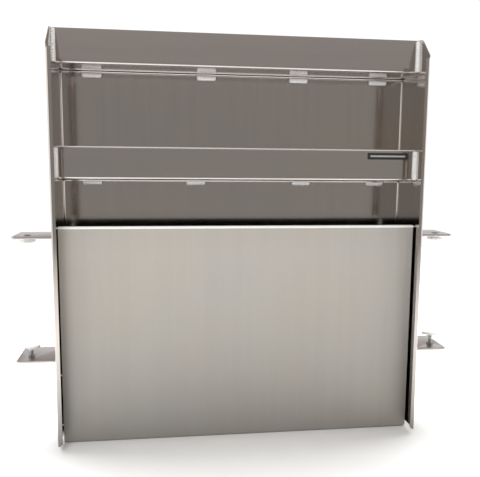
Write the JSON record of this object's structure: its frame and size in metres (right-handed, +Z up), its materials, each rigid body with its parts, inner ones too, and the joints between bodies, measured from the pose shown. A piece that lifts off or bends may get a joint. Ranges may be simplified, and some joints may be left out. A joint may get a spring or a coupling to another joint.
{
  "type": "headache rack",
  "caption": "Open-fronted sheet-aluminium storage rack with two lipped shelves over a deep bin, and side brackets whose screw-adjusted nylon pads clamp it in place.",
  "frame": {"origin": "middle of the whole outline, at the underside of the bin", "axes": "+X to the right seen from the front, +Y from the open front to the back, +Z up"},
  "size_m": [0.946, 0.142, 0.852],
  "materials": {
    "sheet_aluminium": "mill finish, fine vertical grain, satin",
    "plate_aluminium": "mill finish plate, sanded edges",
    "weld_metal": "bright rippled weld bead",
    "zinc_steel": "zinc plated",
    "nylon": "moulded white nylon",
    "label_film": "printed film"
  },
  "bodies": {
    "frame": {"back_and_sides": "sheet_aluminium", "bin": "sheet_aluminium", "bin_stitch_1": "weld_metal", "bin_stitch_2": "weld_metal", "bin_stitch_3": "weld_metal", "bin_stitch_4": "weld_metal", "bin_tack_left_1": "weld_metal", "bin_tack_left_2": "weld_metal", "bin_tack_left_3": "weld_metal", "bin_tack_right_1": "weld_metal", "label": "label_film", "lower_left_bracket": "plate_aluminium", "lower_left_bracket_weld_bottom": "weld_metal", "lower_left_bracket_weld_top": "weld_metal", "lower_left_insert": "zinc_steel", "lower_left_jam_nut": "zinc_steel", "lower_right_bracket": "plate_aluminium", "lower_right_bracket_weld_bottom": "weld_metal", "lower_right_bracket_weld_top": "weld_metal", "lower_right_insert": "zinc_steel", "lower_right_jam_nut": "zinc_steel", "middle_shelf": "sheet_aluminium", "middle_shelf_stitch_1": "weld_metal", "middle_shelf_stitch_2": "weld_metal", "middle_shelf_stitch_3": "weld_metal", "middle_shelf_stitch_4": "weld_metal", "middle_shelf_weld_left": "weld_metal", "middle_shelf_weld_right": "weld_metal", "top_shelf": "sheet_aluminium", "top_shelf_stitch_1": "weld_metal", "top_shelf_stitch_2": "weld_metal", "top_shelf_stitch_3": "weld_metal", "top_shelf_stitch_4": "weld_metal", "top_shelf_weld_left": "weld_metal", "top_shelf_weld_right": "weld_metal", "upper_left_bracket": "plate_aluminium", "upper_left_bracket_weld_bottom": "weld_metal", "upper_left_bracket_weld_top": "weld_metal", "upper_left_insert": "zinc_steel", "upper_right_bracket": "plate_aluminium", "upper_right_bracket_weld_bottom": "weld_metal", "upper_right_bracket_weld_top": "weld_metal", "upper_right_insert": "zinc_steel"},
    "lower_left_ferrule": {"lower_left_ferrule": "zinc_steel"},
    "lower_left_pad": {"lower_left_pad": "nylon"},
    "lower_left_stud": {"lower_left_stud": "zinc_steel"},
    "lower_right_ferrule": {"lower_right_ferrule": "zinc_steel"},
    "lower_right_pad": {"lower_right_pad": "nylon"},
    "lower_right_stud": {"lower_right_stud": "zinc_steel"},
    "upper_left_pad": {"upper_left_pad": "nylon"},
    "upper_left_stud": {"upper_left_stud": "zinc_steel"},
    "upper_right_pad": {"upper_right_pad": "nylon"},
    "upper_right_stud": {"upper_right_stud": "zinc_steel"}
  },
  "joints": [
    {"name": "upper_left_travel", "type": "slide", "parent": "frame", "child": "upper_left_pad", "axis": [0, 0, -1], "range_m": [0, 0.003]},
    {"name": "upper_left_turn", "type": "hinge", "parent": "upper_left_pad", "child": "upper_left_stud", "pos_m": [-0.443, 0.002, 0.434], "axis": [0, 0, -1], "range_deg": [-1, 767]},
    {"name": "lower_left_travel", "type": "slide", "parent": "frame", "child": "lower_left_ferrule", "axis": [0, 0, 1], "range_m": [-0.009, 0.008]},
    {"name": "lower_left_turn", "type": "hinge", "parent": "lower_left_ferrule", "child": "lower_left_stud", "pos_m": [-0.443, 0.002, 0.179], "axis": [0, 0, 1], "range_deg": [-2298, 2042]},
    {"name": "lower_left_tilt", "type": "hinge", "parent": "lower_left_ferrule", "child": "lower_left_pad", "pos_m": [-0.443, 0.002, 0.2048], "axis": [0, 1, 0], "range_deg": [-17, 3]},
    {"name": "upper_right_travel", "type": "slide", "parent": "frame", "child": "upper_right_pad", "axis": [0, 0, -1], "range_m": [0, 0.003]},
    {"name": "upper_right_turn", "type": "hinge", "parent": "upper_right_pad", "child": "upper_right_stud", "pos_m": [0.443, 0.002, 0.434], "axis": [0, 0, -1], "range_deg": [-1, 767]},
    {"name": "lower_right_travel", "type": "slide", "parent": "frame", "child": "lower_right_ferrule", "axis": [0, 0, 1], "range_m": [-0.009, 0.008]},
    {"name": "lower_right_turn", "type": "hinge", "parent": "lower_right_ferrule", "child": "lower_right_stud", "pos_m": [0.443, 0.002, 0.179], "axis": [0, 0, 1], "range_deg": [-2298, 2042]},
    {"name": "lower_right_tilt", "type": "hinge", "parent": "lower_right_ferrule", "child": "lower_right_pad", "pos_m": [0.443, 0.002, 0.2048], "axis": [0, 1, 0], "range_deg": [-15, 3]}
  ],
  "couplings": [
    {"joint": "upper_left_turn", "follows": "upper_left_travel", "rad_per_m": 4452.7},
    {"joint": "lower_left_turn", "follows": "lower_left_travel", "rad_per_m": 4452.7},
    {"joint": "upper_right_turn", "follows": "upper_right_travel", "rad_per_m": 4452.7},
    {"joint": "lower_right_turn", "follows": "lower_right_travel", "rad_per_m": 4452.7}
  ]
}
